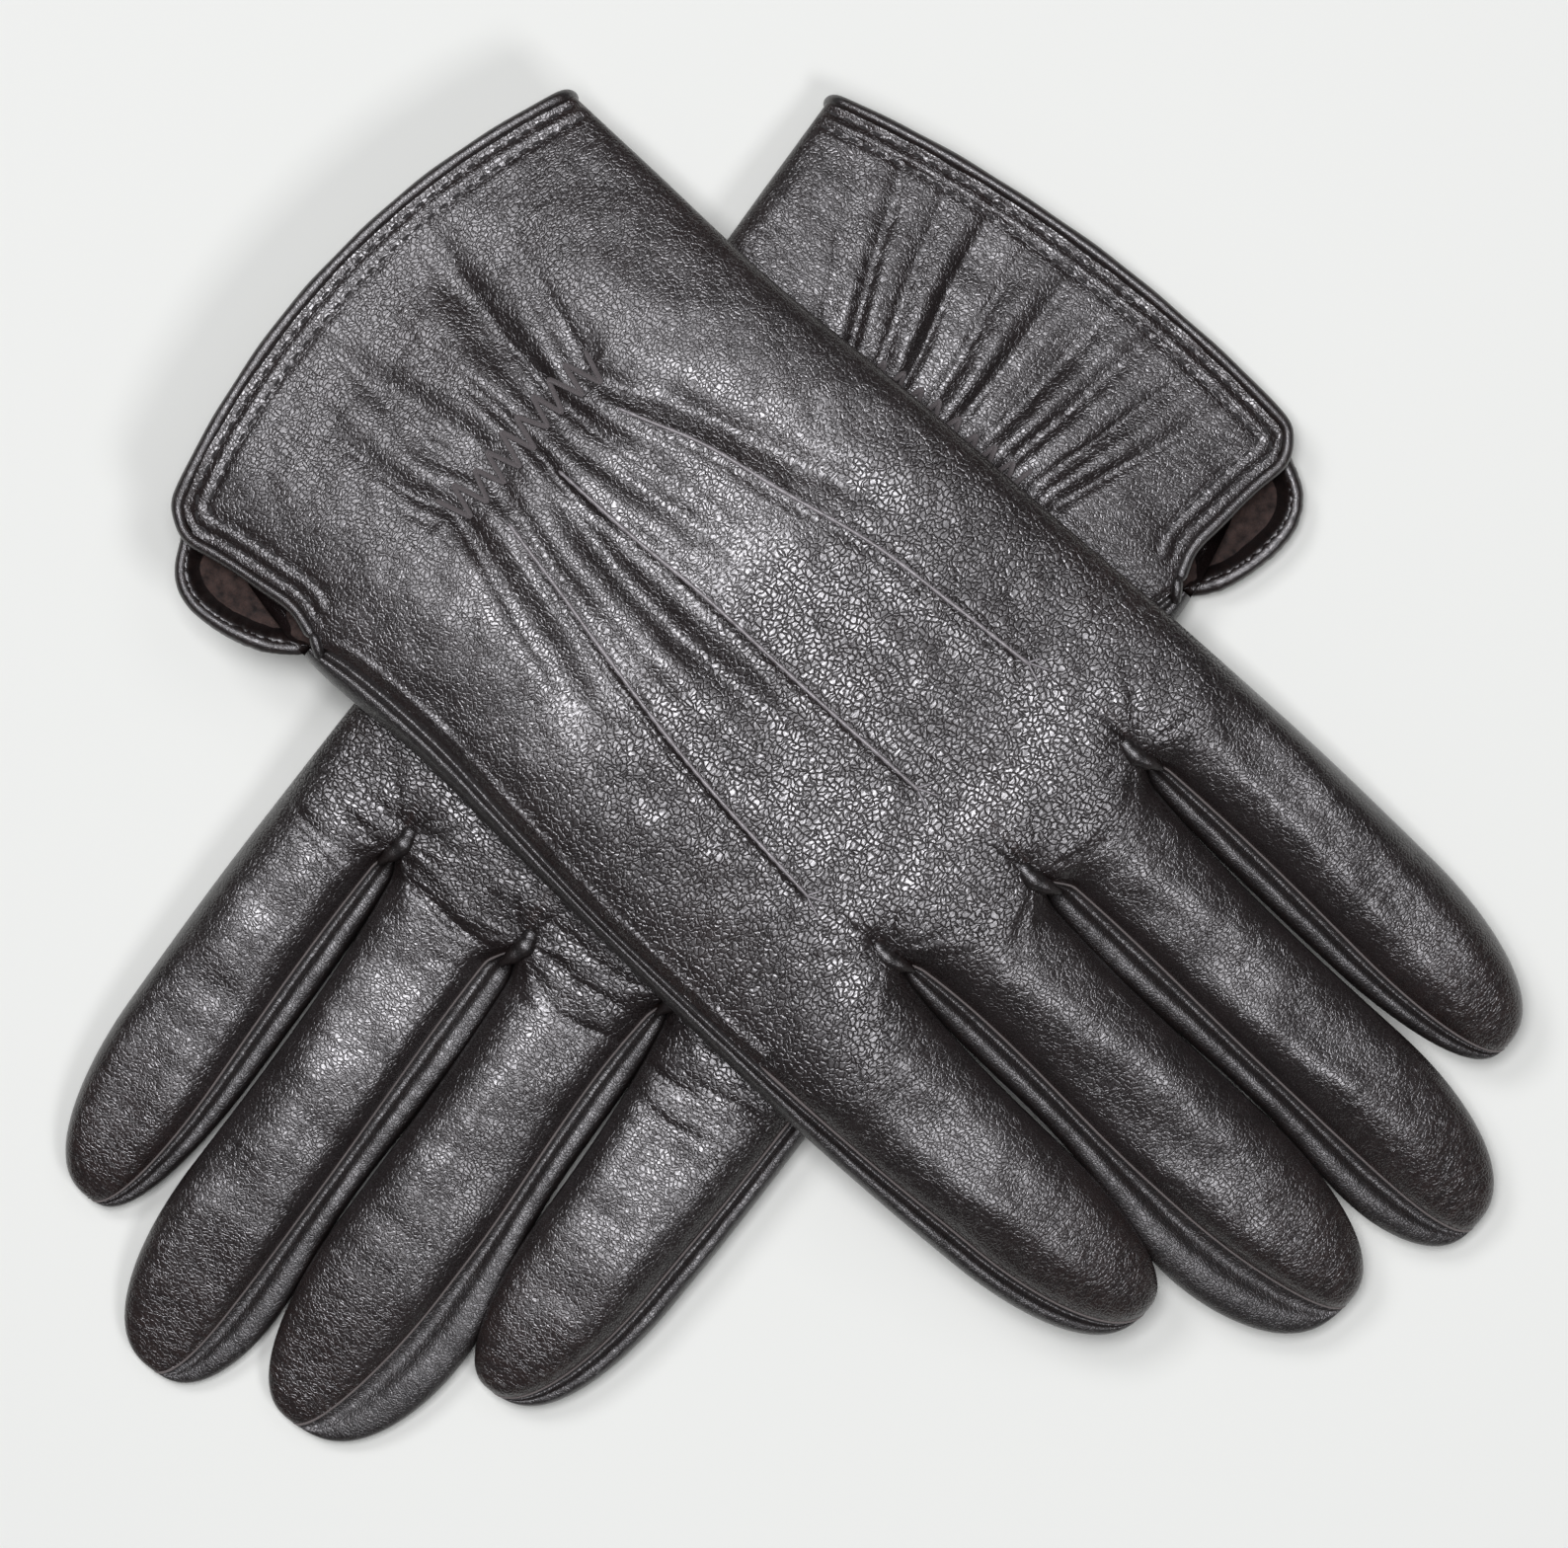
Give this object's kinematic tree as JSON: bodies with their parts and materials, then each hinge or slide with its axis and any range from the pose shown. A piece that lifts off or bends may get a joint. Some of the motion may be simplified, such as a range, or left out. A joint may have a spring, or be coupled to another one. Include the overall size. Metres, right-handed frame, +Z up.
{
  "type": "leather gloves",
  "caption": "Pair of lined leather gloves laid crossed, backs up, with stitched tucks, a gathered wrist, side vents and thumbs tucked under the palms.",
  "frame": {"origin": "middle of the pair's footprint, on the table", "axes": "+Y towards the right glove's fingertips, +X towards its little finger and the left glove's fingertips, +Z up out of the backs of the hands"},
  "size_m": [0.2651, 0.2592, 0.0396],
  "materials": {
    "glove_leather": "fine pebbled grain, satin",
    "gusset_leather": "thin skived leather, satin",
    "edge_leather": "turned edge, slightly worn",
    "fleece_lining": "brushed fleece",
    "thread": "twisted sewing thread",
    "elastic": "woven elastic tape"
  },
  "bodies": {
    "left_hand": {"left_hand_leather": "glove_leather", "left_hand_lining": "fleece_lining", "left_cuff_binding": "edge_leather", "left_cuff_stitching": "thread", "left_vent_tack": "thread", "left_back_tucks": "glove_leather", "left_side_seam": "edge_leather", "left_wrist_elastic": "elastic", "left_wrist_zigzag": "thread"},
    "left_index": {"left_index_strip": "glove_leather", "left_index_gusset": "gusset_leather", "left_index_lining": "fleece_lining"},
    "left_middle": {"left_middle_strip": "glove_leather", "left_middle_gussets": "gusset_leather", "left_middle_lining": "fleece_lining"},
    "left_ring": {"left_ring_strip": "glove_leather", "left_ring_gussets": "gusset_leather", "left_ring_lining": "fleece_lining"},
    "left_little": {"left_little_strip": "glove_leather", "left_little_gusset": "gusset_leather", "left_little_lining": "fleece_lining"},
    "left_thumb": {"left_thumb_leather": "glove_leather", "left_thumb_lining": "fleece_lining"},
    "right_hand": {"right_hand_leather": "glove_leather", "right_hand_lining": "fleece_lining", "right_cuff_binding": "edge_leather", "right_cuff_stitching": "thread", "right_vent_tack": "thread", "right_back_tucks": "glove_leather", "right_side_seam": "edge_leather", "right_wrist_elastic": "elastic", "right_wrist_zigzag": "thread"},
    "right_index": {"right_index_strip": "glove_leather", "right_index_gusset": "gusset_leather", "right_index_lining": "fleece_lining"},
    "right_middle": {"right_middle_strip": "glove_leather", "right_middle_gussets": "gusset_leather", "right_middle_lining": "fleece_lining"},
    "right_ring": {"right_ring_strip": "glove_leather", "right_ring_gussets": "gusset_leather", "right_ring_lining": "fleece_lining"},
    "right_little": {"right_little_strip": "glove_leather", "right_little_gusset": "gusset_leather", "right_little_lining": "fleece_lining"},
    "right_thumb": {"right_thumb_leather": "glove_leather", "right_thumb_lining": "fleece_lining"}
  },
  "joints": [
    {"name": "left_index_curl", "type": "hinge", "parent": "left_hand", "child": "left_index", "pos_m": [0.03911, -0.06394, 0.0055], "axis": [-0.1323, 0.9912, 0], "range_deg": [-20, 75]},
    {"name": "left_middle_curl", "type": "hinge", "parent": "left_hand", "child": "left_middle", "pos_m": [0.03571, -0.03847, 0.0055], "axis": [-0.1323, 0.9912, 0], "range_deg": [-20, 75]},
    {"name": "left_ring_curl", "type": "hinge", "parent": "left_hand", "child": "left_ring", "pos_m": [0.03212, -0.01151, 0.0055], "axis": [-0.1323, 0.9912, 0], "range_deg": [-20, 75]},
    {"name": "left_little_curl", "type": "hinge", "parent": "left_hand", "child": "left_little", "pos_m": [0.02131, 0.01651, 0.0055], "axis": [-0.1323, 0.9912, 0], "range_deg": [-20, 75]},
    {"name": "left_thumb_swing", "type": "hinge", "parent": "left_hand", "child": "left_thumb", "pos_m": [-0.04204, -0.06821, 0.0045], "axis": [0, 0, -1], "range_deg": [0, 50]},
    {"name": "right_glove_lift", "type": "slide", "parent": "left_hand", "child": "right_hand", "axis": [0, 0, 1], "range_m": [0, 0.06]},
    {"name": "right_index_curl", "type": "hinge", "parent": "right_hand", "child": "right_index", "pos_m": [-0.07503, 0.03093, 0.0255], "axis": [-1, 0, 0], "range_deg": [-20, 60]},
    {"name": "right_middle_curl", "type": "hinge", "parent": "right_hand", "child": "right_middle", "pos_m": [-0.04933, 0.03093, 0.0255], "axis": [-1, 0, 0], "range_deg": [-20, 60]},
    {"name": "right_ring_curl", "type": "hinge", "parent": "right_hand", "child": "right_ring", "pos_m": [-0.02213, 0.03093, 0.0255], "axis": [-1, 0, 0], "range_deg": [-20, 60]},
    {"name": "right_little_curl", "type": "hinge", "parent": "right_hand", "child": "right_little", "pos_m": [0.00707, 0.02393, 0.0255], "axis": [-1, 0, 0], "range_deg": [-20, 26]},
    {"name": "right_thumb_swing", "type": "hinge", "parent": "right_hand", "child": "right_thumb", "pos_m": [-0.06853, -0.05007, 0.0245], "axis": [0, 0, 1], "range_deg": [0, 50]}
  ]
}
